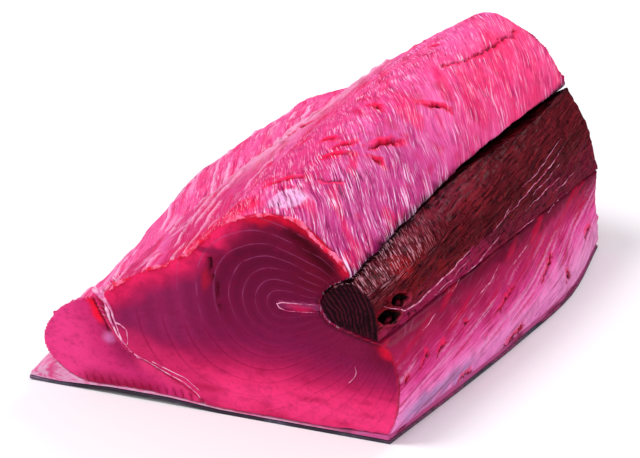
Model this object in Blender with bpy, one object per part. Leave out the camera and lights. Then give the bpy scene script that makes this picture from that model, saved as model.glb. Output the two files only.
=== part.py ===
"""A block of raw tuna loin that lies on its skin.

The block runs along Y from the front cut to the back cut. Its cross-section is a low wedge: thin on the
left, high on the right, and made of five layers that run through the whole block:

    skin         the thin outer hide, flat below and turned up along its left edge
    fat_layer    the pale fat on the hide, thickest in the corner under the side lobe
    side_lobe    the left muscle, divided from the loin by a sheet of connective tissue
    loin         the main muscle, whose cut ends show the rings
    dark_muscle  the dark blood-rich muscle that runs along the right side, in a notch of the loin

Every cross-section is worked out from rails. A rail is a line along the block that a corner or a crest
follows, and it is stated by its place (x, z) at the front cut, half way and at the back cut.
"""

import math

import bmesh
import bpy
from mathutils import Matrix, Vector

MM = 0.001

# Driving dimensions, in millimetres
LENGTH = 316.0
STATION_COUNT = 21
CURVE_STEPS = 12
GAP = 0.35
CUT_ROUND = 3.0
INNER_ROUND_SHARE = 0.15

SKIN_THICKNESS = 1.6
FAT_THICKNESS = 1.3
FAT_WEDGE = 10.0
FAT_WEDGE_WIDTH = 26.0
FAT_CORNER = 3.2
BASE_ARCH = 2.4
BASE_ARCH_CENTRE = -38.0
BASE_ARCH_WIDTH = 52.0
BASE_ARCH_FADE = 0.2

GROOVE_WIDTH = (1.5, 0.6, 2.6, 5.2, 0.3)
GROOVE_DEPTH_SHARE = 0.42
SEAM_OPENING = 3.4
SEAM_OPENING_REACH = 0.11
SEAM_OPENING_DEPTH_SHARE = 0.5

# Rails: (x, z) in millimetres at even steps along the block, from the front cut to the back cut
FLAP_EDGE = ((-106.5, 0.8), (-113.5, 4.0), (-120.5, 11.0), (-125.0, 30.5), (-114.0, 38.0))
FLAP_TURN_X = (-88.0, -80.0, -72.0, -66.0, -62.0)
BASE_RIGHT_X = (106.5, 113.6, 119.0, 121.0, 108.5)

LOBE_FOOT_X = (-89.0, -92.0, -96.0, -96.0, -90.0)
LOBE_LOW = ((-94.0, 20.5), (-97.0, 27.0), (-101.0, 34.0), (-99.5, 44.0), (-94.5, 46.0))
LOBE_SIDE = ((-94.0, 30.5), (-95.5, 36.5), (-99.0, 45.5), (-97.0, 55.5), (-92.5, 55.5))
LOBE_SHOULDER = ((-86.0, 42.5), (-86.0, 46.5), (-88.5, 60.0), (-87.0, 65.0), (-84.5, 64.5))
LOBE_TOP = ((-72.5, 51.5), (-71.0, 59.0), (-70.0, 71.0), (-68.0, 75.0), (-66.0, 73.0))

SEAM_TOP = ((-63.0, 56.3), (-59.0, 67.5), (-53.0, 77.0), (-49.0, 80.5), (-45.5, 83.0))
SEAM_UPPER = ((-56.0, 41.5), (-53.0, 54.0), (-50.0, 60.0))
SEAM_ELBOW = ((-45.5, 28.0), (-43.0, 33.0), (-41.0, 35.0))
SEAM_LOWER = ((-20.0, 15.5), (-20.0, 17.0), (-20.0, 18.0))
SEAM_FOOT_X = (0.0, 2.0, 4.0)
SEAM_FOOT_RISE = 1.2

LOIN_SEAM_EDGE = ((-61.0, 58.5), (-57.0, 70.0), (-50.5, 80.5), (-46.5, 84.8), (-42.5, 88.0))
LOIN_SLOPE_LOW = ((-40.0, 73.0), (-33.0, 92.5), (-31.0, 98.0))
LOIN_SLOPE = ((-13.0, 87.0), (-11.0, 106.0), (-10.0, 112.0))
LOIN_SLOPE_HIGH = ((10.0, 108.5), (12.0, 124.0), (12.0, 127.0))
LOIN_CREST = ((38.0, 118.8), (40.0, 135.0), (38.0, 139.8))
LOIN_CREST_RIGHT = ((59.0, 114.4), (61.0, 129.5), (60.0, 132.0))
LOIN_SHOULDER = ((75.0, 102.9), (77.5, 116.5), (77.5, 118.0))
LOIN_DARK_EDGE = ((85.5, 91.0), (86.5, 104.0), (87.5, 101.0))

DARK_TOP = ((84.5, 89.0), (85.5, 101.5), (87.5, 99.0))
DARK_ROOF = ((74.0, 84.0), (72.0, 93.0), (72.0, 89.0))
DARK_HEART = ((67.5, 74.5), (63.0, 78.0), (62.0, 74.0))
DARK_FLOOR = ((73.0, 63.5), (71.0, 61.5), (70.0, 57.0))
DARK_BOTTOM = ((100.5, 56.0), (110.5, 58.5), (107.5, 49.5))
DARK_SIDE_LOW = ((100.0, 66.0), (108.5, 69.5), (106.0, 60.0))
DARK_SIDE_HIGH = ((96.5, 79.5), (100.0, 87.0), (100.0, 80.0))

SIDE_RIM = ((107.0, 53.0), (113.5, 54.5), (108.0, 44.5))
SIDE_MIDDLE = ((112.5, 35.0), (119.5, 34.0), (108.0, 30.0))
SIDE_LOW = ((110.5, 12.0), (116.0, 12.0), (120.5, 12.0), (122.0, 12.0), (110.0, 11.0))

# Two blood vessels, cut at a slant, that open in the dark muscle's outer side:
# (x, distance from the front cut, z), half the mouth's length and height, depth
UPPER_VESSEL = ((100.8, 27.0, 70.6), (6.0, 3.1), 7.0)
LOWER_VESSEL = ((100.4, 13.0, 67.0), (8.5, 3.8), 8.0)
VESSEL_TAPER = 0.5
VESSEL_SIDES = 16


def at(rail, t):
    """The rail's place at t, 0 at the front cut and 1 at the back cut, on a smooth curve through its values."""
    if not isinstance(rail[0], tuple):
        return at([(value, 0.0) for value in rail], t)[0]
    k = min(int(t * (len(rail) - 1)), len(rail) - 2)
    padded = with_ends(rail)
    return catmull_rom(*padded[k:k + 4], t * (len(rail) - 1) - k)


def smoothstep(low, high, value):
    share = min(1.0, max(0.0, (value - low) / (high - low)))
    return share * share * (3 - 2 * share)


def smooth_line(corners, count):
    """count points, evenly spaced, on a smooth curve from the first corner to the last."""
    padded = with_ends(corners)
    fine = []
    for k in range(len(corners) - 1):
        fine += [catmull_rom(*padded[k:k + 4], step / CURVE_STEPS) for step in range(CURVE_STEPS)]
    return spaced([*fine, tuple(corners[-1])], count)


def with_ends(points):
    """The points, with one more beyond each end on the straight line through the last two."""
    first = tuple(2 * a - b for a, b in zip(points[0], points[1]))
    last = tuple(2 * a - b for a, b in zip(points[-1], points[-2]))
    return [first, *points, last]


def catmull_rom(p, q, r, s, u):
    """The point at share u between q and r on the curve through p, q, r and s."""
    return tuple(
        0.5 * (2 * b + (c - a) * u + (2 * a - 5 * b + 4 * c - d) * u**2 + (3 * b - a - 3 * c + d) * u**3)
        for a, b, c, d in zip(p, q, r, s)
    )


def spaced(line, count):
    """count points at equal distances along a polyline, its two ends included."""
    lengths = [0.0]
    for p, q in zip(line, line[1:]):
        lengths.append(lengths[-1] + math.dist(p, q))
    found, k = [], 0
    for n in range(count):
        target = lengths[-1] * n / (count - 1)
        while k < len(line) - 2 and lengths[k + 1] < target:
            k += 1
        share = (target - lengths[k]) / max(lengths[k + 1] - lengths[k], 1e-9)
        found.append(tuple(line[k][i] + share * (line[k + 1][i] - line[k][i]) for i in range(2)))
    return found


def base_height(x, t):
    """Height of the hide's underside: flat, arched a little near the front cut, turned up along the flap."""
    arch_reach = max(0.0, 1 - ((x - BASE_ARCH_CENTRE) / BASE_ARCH_WIDTH) ** 2)
    arch = BASE_ARCH * arch_reach**2 * (1 - smoothstep(0.0, BASE_ARCH_FADE, t))
    edge_x, edge_z = at(FLAP_EDGE, t)
    turn_x = at(FLAP_TURN_X, t)
    flap = max(0.0, (turn_x - x) / (turn_x - edge_x))
    return arch + edge_z * flap**1.7


def above(height, x, t, distance):
    """The height over a layer at a distance from it, measured square to its slope."""
    slope = height(x + 0.5, t) - height(x - 0.5, t)
    return height(x, t) + distance * math.hypot(1.0, slope)


def fat_under(x, t):
    return above(base_height, x, t, SKIN_THICKNESS + GAP)


def fat_over(x, t):
    """Top of the fat: thin, with a wedge that peaks at the lobe's foot and a thicker right corner."""
    foot_x = at(LOBE_FOOT_X, t)
    edge_x = at(FLAP_EDGE, t)[0]
    right_x = at(BASE_RIGHT_X, t)
    if x < foot_x:
        wedge = max(0.0, (x - edge_x) / (foot_x - edge_x))
    else:
        wedge = max(0.0, 1 - (x - foot_x) / FAT_WEDGE_WIDTH) ** 2.2
    corner = smoothstep(right_x - 40.0, right_x, x)
    return fat_under(x, t) + FAT_THICKNESS + FAT_WEDGE * wedge + (FAT_CORNER - FAT_THICKNESS) * corner


def muscle_under(x, t):
    return above(fat_over, x, t, GAP)


def level_line(height, xs, t):
    """Points at the height that the function gives above each x."""
    return [(x, height(x, t)) for x in xs]


def spread(x0, x1, count):
    return [x0 + (x1 - x0) * n / (count - 1) for n in range(count)]


def lobe_floor_xs(t):
    """Where the side lobe and the fat under it are sampled, from the lobe's foot to the seam's foot."""
    foot_x = at(LOBE_FOOT_X, t)
    near = [foot_x + FAT_WEDGE_WIDTH * share for share in (0.0, 0.15, 0.3, 0.5, 0.72, 1.0)]
    return near + spread(near[-1], at(SEAM_FOOT_X, t) - 2 * GAP, 5)[1:]


def loin_floor_xs(t):
    """Where the loin and the fat under it are sampled, from the seam's foot to the right side."""
    return spread(at(SEAM_FOOT_X, t), at(BASE_RIGHT_X, t), 10)


def nudge(line, distance):
    """The line moved to its left by a distance, or by each point's own distance from a list."""
    distances = distance if isinstance(distance, list) else [distance] * len(line)
    moved = []
    for n, (point, d) in enumerate(zip(line, distances)):
        before, after = line[max(0, n - 1)], line[min(len(line) - 1, n + 1)]
        along = Vector((after[0] - before[0], after[1] - before[1])).normalized()
        moved.append((point[0] - along.y * d, point[1] + along.x * d))
    return moved


def seam(t, count=11):
    """The sheet between the side lobe and the loin, from its top edge down to the fat."""
    foot_x = at(SEAM_FOOT_X, t)
    foot = (foot_x, muscle_under(foot_x, t) + SEAM_FOOT_RISE)
    corners = [at(rail, t) for rail in (SEAM_TOP, SEAM_UPPER, SEAM_ELBOW, SEAM_LOWER)] + [foot]
    return smooth_line(corners, count)


def notch(t, count=12):
    """The boundary between the dark muscle and the loin, from its top edge round to its bottom edge."""
    rails = (DARK_TOP, DARK_ROOF, DARK_HEART, DARK_FLOOR, DARK_BOTTOM)
    return smooth_line([at(rail, t) for rail in rails], count)


def parting(count, depth_share, width):
    """How far each point of a boundary has parted: the full width at its top edge, closing with depth."""
    return [GAP / 2 + width * max(0.0, 1 - n / (count * depth_share)) for n in range(count)]


def loin_section(t):
    """The loin's outline and, for each point, how much of the cut's rounding it takes."""
    under = level_line(muscle_under, loin_floor_xs(t), t)
    side = smooth_line([under[-1], at(SIDE_LOW, t), at(SIDE_MIDDLE, t), at(SIDE_RIM, t), at(DARK_BOTTOM, t)], 9)
    inner = nudge(list(reversed(notch(t))), GAP / 2)
    rails = (LOIN_DARK_EDGE, LOIN_SHOULDER, LOIN_CREST_RIGHT, LOIN_CREST, LOIN_SLOPE_HIGH, LOIN_SLOPE,
             LOIN_SLOPE_LOW, LOIN_SEAM_EDGE)
    top = smooth_line([at(rail, t) for rail in rails], 22)
    left = nudge(seam(t), GAP / 2)
    return joined((under, INNER_ROUND_SHARE), (side[1:-1], 1.0), (inner[:-1], INNER_ROUND_SHARE),
                  (top, 1.0), (left[1:], INNER_ROUND_SHARE))


def lobe_section(t):
    """The side lobe's outline: along the fat, round its free left side, over its top and down the seam."""
    under = level_line(muscle_under, reversed(lobe_floor_xs(t)), t)
    free = smooth_line([under[-1], *(at(rail, t) for rail in (LOBE_LOW, LOBE_SIDE, LOBE_SHOULDER, LOBE_TOP)),
                        at(SEAM_TOP, t)], 14)
    divide = seam(t)
    opening = SEAM_OPENING * (1 - smoothstep(0.0, SEAM_OPENING_REACH, t))
    divide = nudge(divide, [-d for d in parting(len(divide), SEAM_OPENING_DEPTH_SHARE, opening)])
    return joined((list(under), INNER_ROUND_SHARE), (free[1:-1], 1.0), (divide[:-1], INNER_ROUND_SHARE))


def dark_section(t):
    """The dark muscle's outline: the notch's wall, less the groove along its top, and the outer side."""
    wall = notch(t)
    wall = nudge(wall, parting(len(wall), GROOVE_DEPTH_SHARE, at(GROOVE_WIDTH, t)))
    outer = smooth_line([wall[-1], at(DARK_SIDE_LOW, t), at(DARK_SIDE_HIGH, t), wall[0]], 10)
    return joined((wall, INNER_ROUND_SHARE), (outer[1:-1], 1.0))


def hide_xs(t):
    """Where the hide and the fat on it are sampled, from the flap's edge to the right side."""
    turn_x = at(FLAP_TURN_X, t)
    return spread(at(FLAP_EDGE, t)[0] + 0.6, turn_x, 7) + spread(turn_x, at(BASE_RIGHT_X, t), 7)[1:]


def fat_section(t):
    below = level_line(fat_under, hide_xs(t), t)
    left_xs = spread(below[0][0], at(LOBE_FOOT_X, t), 5)[:-1]
    over = level_line(fat_over, left_xs + lobe_floor_xs(t) + loin_floor_xs(t), t)
    return joined((below, 0.1), (list(reversed(over)), 0.1))


def skin_section(t):
    below = level_line(base_height, [at(FLAP_EDGE, t)[0], *hide_xs(t)[1:-1], at(BASE_RIGHT_X, t) + 0.8], t)
    over = [(x, above(base_height, x, t, SKIN_THICKNESS)) for x, z in reversed(below)]
    return joined((below, 0.0), (over, 0.0))


def joined(*stretches):
    """One closed outline from stretches of (points, share of the rounding), a full share being eased in."""
    outline = []
    for points, share in stretches:
        for n, point in enumerate(points):
            from_end = min(n, len(points) - 1 - n)
            outline.append((point, share * min(1.0, 0.35 + 0.3 * from_end) if share == 1.0 else share))
    return outline


def inset(outline, distance):
    """The outline drawn in by the distance, times each point's share."""
    drawn = []
    for n, (point, share) in enumerate(outline):
        before, after = outline[n - 1][0], outline[(n + 1) % len(outline)][0]
        along = Vector((after[0] - before[0], after[1] - before[1])).normalized()
        drawn.append((point[0] - along.y * distance * share, point[1] + along.x * distance * share))
    return drawn


def stations():
    """(t, y, inset) from the front cut to the back cut, with a quarter round at both ends."""
    ends = [(1 - math.cos(a), 1 - math.sin(a)) for a in (0.0, math.radians(45), math.radians(90))]
    front = [(CUT_ROUND * along, CUT_ROUND * depth) for along, depth in ends]
    body = [(LENGTH * n / (STATION_COUNT - 1), 0.0) for n in range(1, STATION_COUNT - 1)]
    back = [(LENGTH - along, depth) for along, depth in reversed(front)]
    return [(along / LENGTH, along - LENGTH / 2, depth) for along, depth in front + body + back]


def loft(name, section):
    """A closed solid: the section's outline extruded from station to station and capped at both cuts."""
    bm = bmesh.new()
    ring = edges = None
    for t, y, depth in stations():
        outline = inset(section(t), depth)
        places = [Vector((x * MM, y * MM, z * MM)) for x, z in outline]
        if ring is None:
            ring = [bm.verts.new(place) for place in places]
            edges = [bm.edges.new(pair) for pair in zip(ring, ring[1:] + ring[:1])]
            bm.faces.new(ring)
            continue
        made = bmesh.ops.extrude_edge_only(bm, edges=edges)["geom"]
        fresh = {part for part in made if isinstance(part, bmesh.types.BMVert)}
        edges = [edge for edge in made if isinstance(edge, bmesh.types.BMEdge) and fresh.issuperset(edge.verts)]
        ring = [next(e.other_vert(v) for e in v.link_edges if e.other_vert(v) in fresh) for v in ring]
        for vertex, place in zip(ring, places):
            vertex.co = place
    bm.faces.new(ring)
    bmesh.ops.recalc_face_normals(bm, faces=bm.faces)
    mesh = bpy.data.meshes.new(name)
    bm.to_mesh(mesh)
    bm.free()
    obj = bpy.data.objects.new(name, mesh)
    bpy.context.scene.collection.objects.link(obj)
    mesh.shade_smooth()
    mesh.set_sharp_from_angle(angle=math.radians(50))
    return obj


def open_vessel(obj, name, vessel):
    """Cuts a tapered blind hole with an oval mouth into the right side."""
    (x, along, z), (half_length, half_height), depth = vessel
    bm = bmesh.new()
    bmesh.ops.create_cone(bm, cap_ends=True, segments=VESSEL_SIDES, radius1=VESSEL_TAPER,
                          radius2=2 - VESSEL_TAPER, depth=2 * depth)
    bmesh.ops.rotate(bm, verts=bm.verts, matrix=Matrix.Rotation(math.radians(90), 3, "Y"))
    bmesh.ops.scale(bm, verts=bm.verts, vec=Vector((1.0, half_length, half_height)))
    bmesh.ops.translate(bm, verts=bm.verts, vec=Vector((x, along - LENGTH / 2, z)))
    bmesh.ops.scale(bm, verts=bm.verts, vec=Vector((MM, MM, MM)))
    mesh = bpy.data.meshes.new(name)
    bm.to_mesh(mesh)
    bm.free()
    cutter = bpy.data.objects.new(name, mesh)
    bpy.context.scene.collection.objects.link(cutter)
    cutter.hide_render = True
    cutter.display_type = "WIRE"
    cut = obj.modifiers.new(name, "BOOLEAN")
    cut.operation = "DIFFERENCE"
    cut.object = cutter
    return cutter


def material(name, colour, roughness):
    made = bpy.data.materials.new(name)
    made.use_nodes = True
    shader = made.node_tree.nodes["Principled BSDF"]
    shader.inputs["Base Color"].default_value = (*colour, 1.0)
    shader.inputs["Roughness"].default_value = roughness
    shader.inputs["Metallic"].default_value = 0.0
    return made


def centre_on_base(objects):
    """Moves every shape so that the origin is the centre of the whole block's base."""
    corners = [vertex.co for obj in objects if not obj.hide_render for vertex in obj.data.vertices]
    low = Vector(min(c[k] for c in corners) for k in range(3))
    high = Vector(max(c[k] for c in corners) for k in range(3))
    shift = Vector((-(low.x + high.x) / 2, -(low.y + high.y) / 2, -low.z))
    for obj in objects:
        obj.data.transform(Matrix.Translation(shift))


def main():
    for obj in list(bpy.data.objects):
        bpy.data.objects.remove(obj)
    layers = (
        ("skin", skin_section, (0.05, 0.05, 0.06), 0.35),
        ("fat_layer", fat_section, (0.83, 0.45, 0.55), 0.4),
        ("side_lobe", lobe_section, (0.80, 0.06, 0.22), 0.35),
        ("loin", loin_section, (0.62, 0.03, 0.13), 0.35),
        ("dark_muscle", dark_section, (0.10, 0.01, 0.015), 0.35),
    )
    made = {}
    for name, section, colour, roughness in layers:
        made[name] = loft(name, section)
        made[name].data.materials.append(material(name, colour, roughness))
    cutters = [
        open_vessel(made["dark_muscle"], "upper_vessel", UPPER_VESSEL),
        open_vessel(made["dark_muscle"], "lower_vessel", LOWER_VESSEL),
    ]
    centre_on_base([*made.values(), *cutters])


main()
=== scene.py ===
"""The looks of a block of raw tuna loin: flesh, fat, hide, membranes and threads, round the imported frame.

X runs to the right across the front cut, Y from the front cut to the back cut, and Z up. Lengths are worked
out in millimetres, and MM makes them metres. A colour of three whole numbers is in display values, 0 to 255.
Masks run from 0 (nothing) to 1 (all of it). The numbers in a mask are places and widths in millimetres.
"""

import math

import bmesh
import bpy
import numpy as np
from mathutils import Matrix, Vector
from mathutils.bvhtree import BVHTree


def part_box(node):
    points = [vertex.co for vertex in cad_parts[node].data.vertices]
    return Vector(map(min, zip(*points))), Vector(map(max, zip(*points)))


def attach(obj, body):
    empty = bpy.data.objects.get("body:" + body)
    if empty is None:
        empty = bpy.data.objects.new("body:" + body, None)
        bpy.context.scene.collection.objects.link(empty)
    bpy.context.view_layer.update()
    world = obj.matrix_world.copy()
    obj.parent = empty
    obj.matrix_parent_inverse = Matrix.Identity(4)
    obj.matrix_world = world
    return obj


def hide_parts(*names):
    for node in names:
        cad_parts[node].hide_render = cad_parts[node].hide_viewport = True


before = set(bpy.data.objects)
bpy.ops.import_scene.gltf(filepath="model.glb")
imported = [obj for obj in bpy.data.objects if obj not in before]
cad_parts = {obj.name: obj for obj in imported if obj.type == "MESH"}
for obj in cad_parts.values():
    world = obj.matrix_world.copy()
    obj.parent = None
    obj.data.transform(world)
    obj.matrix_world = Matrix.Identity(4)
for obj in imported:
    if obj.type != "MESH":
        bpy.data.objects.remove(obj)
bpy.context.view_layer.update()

MM = 0.001
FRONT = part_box("loin")[0][1] / MM
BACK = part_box("loin")[1][1] / MM
COARSE = 1.0
FAR_OFF = 200

# points nearer than this are joined, and edges shorter than this are dissolved
MERGE_REACH = 0.02
SLIVER = 0.004
# faces this near another layer are thinned by this share, but not within this of the ends
HIDDEN_REACH = 1.1
HIDDEN_THINNING = 0.88
SEEN_FROM_ENDS = 6.0
# a surface is against another layer below the gap, and free past the reach
CONTACT_GAP = 0.7
CONTACT_REACH = 4.0
# the most triangles of a muscle and of a thin layer, and the fewest points of a loose bit of thread
MOST_TRIANGLES = 185000
MOST_LAYER_FACES = 90000
MOST_PASSES = 6
FEWEST_POINTS = 64
ROWS_AT_ONCE = 3000
# steps along the threads on the front and on the side
LINE_STEP = 0.8
SIDE_LINE_STEP = 1.2

def linear(red, green, blue):
    """Scene-linear colour from 0-255 display values."""
    steps = np.array([red, green, blue]) / 255.0
    return np.where(steps <= 0.04045, steps / 12.92, ((steps + 0.055) / 1.055) ** 2.4)


def ease(low, high, value):
    """0 up to low and 1 from high, smooth between. With low above high it falls instead."""
    share = np.clip((value - low) / (high - low), 0.0, 1.0)
    return share * share * (3 - 2 * share)


def bump_at(distance, reach):
    """1 at no distance, falling smoothly to 0 at the reach."""
    return 1 - ease(0, reach, distance)


def oval(across, half_width, up, half_height):
    """1 at the middle of an oval patch, falling smoothly to 0 at its edge."""
    return bump_at(np.hypot(across / half_width, up / half_height), 1)


def linked(name, data):
    """A new object in the scene."""
    obj = bpy.data.objects.new(name, data)
    bpy.context.scene.collection.objects.link(obj)
    return obj


def lattice_hash(ix, iy, iz, seed):
    """A number from 0 to 1 for each whole-numbered place, the same on every run."""
    mixed = (ix * 374761393 + iy * 668265263 + iz * 1103515245 + seed * 974634777) & 0xFFFFFFFF
    mixed = ((mixed ^ (mixed >> 13)) * 1274126177) & 0xFFFFFFFF
    return ((mixed ^ (mixed >> 16)) & 0xFFFFFF) / float(0xFFFFFF)


def noise(points, size, seed=0):
    """Smooth noise from -1 to 1, with grains of about the size (one length, or one for each axis)."""
    scaled = points / np.asarray(size, dtype=float)
    cell = np.floor(scaled).astype(np.int64)
    within = scaled - cell
    within = within * within * (3 - 2 * within)
    total = np.zeros(len(points))
    for corner in range(8):
        step = np.array([corner & 1, corner >> 1 & 1, corner >> 2 & 1])
        weight = np.prod(np.where(step, within, 1 - within), axis=1)
        total += weight * lattice_hash(*(cell + step).T, seed)
    return 2 * total - 1


def layered_noise(points, size, seed=0, layers=3):
    total = sum(noise(points, np.asarray(size) / 2**k, seed + 17 * k) / 2**k for k in range(layers))
    return total / sum(0.5**k for k in range(layers))


def to_segment(points, start, end):
    """Each 2-D point's distance to a segment, and its place along it from 0 to 1."""
    start, end = np.asarray(start, float), np.asarray(end, float)
    along = np.clip((points - start) @ (end - start) / max((end - start) @ (end - start), 1e-9), 0, 1)
    return np.linalg.norm(points - start - along[:, None] * (end - start), axis=1), along


def to_line(points, corners):
    """Each 2-D point's distance to a polyline, and its place along it from 0 to 1."""
    best = np.full(len(points), 1e9)
    place = np.zeros(len(points))
    for k, (start, end) in enumerate(zip(corners, corners[1:])):
        distance, along = to_segment(points, start, end)
        nearer = distance < best
        best = np.where(nearer, distance, best)
        place = np.where(nearer, (k + along) / (len(corners) - 1), place)
    return best, place


def ladder(value, steps):
    """Colours that change with a value, from rows of a value and a display colour, low to high."""
    places = [place for place, *_ in steps]
    colours = np.array([linear(*colour) for _, *colour in steps])
    return np.c_[[np.interp(value, places, colours[:, k]) for k in range(3)]].T


class Flesh:
    """A piece in the making: its points and normals in millimetres, and the paint on them."""

    def __init__(self, name, mesh, node=None):
        self.name, self.mesh, self.node = name, mesh, node
        self.read()
        self.tone = np.zeros((len(self.co), 3))
        self.values = {}

    def read(self):
        count = len(self.mesh.vertices)
        self.co, self.no = np.empty(count * 3), np.empty(count * 3)
        self.mesh.vertices.foreach_get("co", self.co)
        self.mesh.vertices.foreach_get("normal", self.no)
        self.co = self.co.reshape(-1, 3) / MM
        self.no = self.no.reshape(-1, 3)
        self.x, self.y, self.z = self.co.T

    def push(self, distance):
        """Moves each point along its normal by its distance."""
        self.co = self.co + self.no * distance[:, None]
        self.mesh.vertices.foreach_set("co", (self.co * MM).ravel())
        self.mesh.update()
        self.read()

    def noise(self, size, seed):
        return noise(self.co, size, seed)

    def layers(self, size, seed):
        return layered_noise(self.co, size, seed)

    def paint(self, colour, mask, *ramps):
        """Mixes in a display colour, or one for each point, by the mask and each (low, high, value) ramp."""
        if len(colour) == 3:
            colour = linear(*colour)
        for ramp in ramps:
            mask = mask * ease(*ramp)
        mask = np.clip(mask * np.ones(len(self.tone)), 0, 1)
        self.tone += (colour - self.tone) * mask[:, None]

    def painter(self, area):
        """A brush that paints inside an area only."""
        return lambda colour, mask, *ramps: self.paint(colour, area * mask, *ramps)

    def finish(self, material, slot):
        """Makes the piece. One that replaces a node carries its paint as attributes."""
        if self.node:
            tone = self.mesh.attributes.new("tone", "FLOAT_COLOR", "POINT")
            tone.data.foreach_set("color", np.c_[self.tone, np.ones(len(self.tone))].ravel())
        for name, value in self.values.items():
            kind, field = ("FLOAT", "value") if value.ndim == 1 else ("FLOAT_VECTOR", "vector")
            self.mesh.attributes.new(name, kind, "POINT").data.foreach_set(field, value.ravel())
        self.mesh.materials.clear()
        self.mesh.materials.append(material)
        self.mesh.shade_smooth()
        piece = linked(self.name, self.mesh)
        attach(piece, "root")
        if self.node:
            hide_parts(self.node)
        return piece


def merged_copy(node):
    """The CAD node's mesh with its loose triangles joined."""
    bm = bmesh.new()
    bm.from_mesh(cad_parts[node].data)
    bmesh.ops.remove_doubles(bm, verts=bm.verts, dist=MERGE_REACH * MM)
    mesh = bpy.data.meshes.new(node + "_dense")
    bm.to_mesh(mesh)
    bm.free()
    return mesh


def applied(mesh, modifiers):
    """The mesh after a list of (kind, settings, marks of the points that it acts on or None)."""
    for kind, settings, marks in modifiers:
        obj = linked("work", mesh)
        change = obj.modifiers.new(kind, kind)
        for key, value in settings.items():
            setattr(change, key, value)
        if marks is not None:
            group = obj.vertex_groups.new(name="area")
            for index in np.flatnonzero(marks):
                group.add([int(index)], 1.0, "REPLACE")
            change.vertex_group = "area"
        evaluated = obj.evaluated_get(bpy.context.evaluated_depsgraph_get())
        changed = bpy.data.meshes.new_from_object(evaluated)
        bpy.data.objects.remove(obj)
        bpy.data.meshes.remove(mesh)
        mesh = changed
    return mesh


def fused(mesh, voxel, smoothing):
    """An even, dense mesh of everything in the mesh, with its steps smoothed away."""
    return applied(mesh, [
        ("REMESH", {"mode": "VOXEL", "voxel_size": voxel * COARSE * MM, "adaptivity": 0.0}, None),
        ("SMOOTH", {"factor": 0.5, "iterations": smoothing}, None),
    ])


def thinned(mesh, share, marks=None):
    return applied(mesh, [("DECIMATE", {"decimate_type": "COLLAPSE", "ratio": share}, marks)])


def surface_of(*meshes):
    """One search tree over the meshes' faces."""
    bm = bmesh.new()
    for mesh in meshes:
        bm.from_mesh(mesh)
    tree = BVHTree.FromBMesh(bm)
    bm.free()
    return tree


def hidden_points(mesh, node):
    """Marks the points that lie against another layer, away from the edges that can be seen."""
    others = [tree for name, tree in layer_trees.items() if name != node]
    marks = np.zeros(len(mesh.vertices), bool)
    for vertex in mesh.vertices:
        if (FRONT + SEEN_FROM_ENDS) * MM < vertex.co.y < (BACK - SEEN_FROM_ENDS) * MM:
            marks[vertex.index] = any(tree.find_nearest(vertex.co, HIDDEN_REACH * MM)[0] for tree in others)
    return marks


def remeshed(name, node, voxel, smoothing):
    """An even, dense copy of the node, thinned where other layers hide it."""
    mesh = fused(merged_copy(node), voxel, smoothing)
    hidden = hidden_points(mesh, node)
    mesh = thinned(mesh, 1 - HIDDEN_THINNING * hidden.mean(), hidden)
    mesh.calc_loop_triangles()
    share = MOST_TRIANGLES / len(mesh.loop_triangles)
    return Flesh(name, mesh if share >= 1 else thinned(mesh, share), node)


layer_trees = {}
for node_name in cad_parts:
    layer_mesh = merged_copy(node_name)
    layer_trees[node_name] = surface_of(layer_mesh)
    bpy.data.meshes.remove(layer_mesh)

CRIMSON = (236, 34, 84)
BLOOD_RED = (176, 8, 36)
SHADOW_BROWN = (84, 6, 26)
# painted shade: near black for the depths of gashes, the tear and the crack at the groove
CRACK_SHADE = (20, 4, 10)

# ---- the rings of a cut

RING_HEART = ((46.0, 69.0), (68.0, 71.0))
BACK_RING_HEART = ((42.0, 75.0), (64.0, 78.0))
RING_STRETCH = 1.12
RING_SQUEEZE = 0.44
RING_GROWTH = 0.0195
RING_STEP = 0.07


def ring_count(points, heart):
    """How many rings lie between each (x, z) point and the heart line. They widen to the left and out."""
    distance, _ = to_segment(points, *heart)
    middle = (np.asarray(heart[0]) + np.asarray(heart[1])) / 2
    angle = np.arctan2(points[:, 1] - middle[1], points[:, 0] - middle[0])
    stretch = RING_STRETCH - RING_SQUEEZE * np.cos(angle)
    flat = np.c_[points, np.zeros(len(points))]
    wander = 1.5 * noise(flat, 30, 5) + 0.45 * noise(flat, 10, 6)
    reach = np.maximum(distance + wander * ease(4, 20, distance) - 2, 0)
    return np.log1p(RING_GROWTH * reach) / RING_STEP / stretch


# ---- loin

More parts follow.
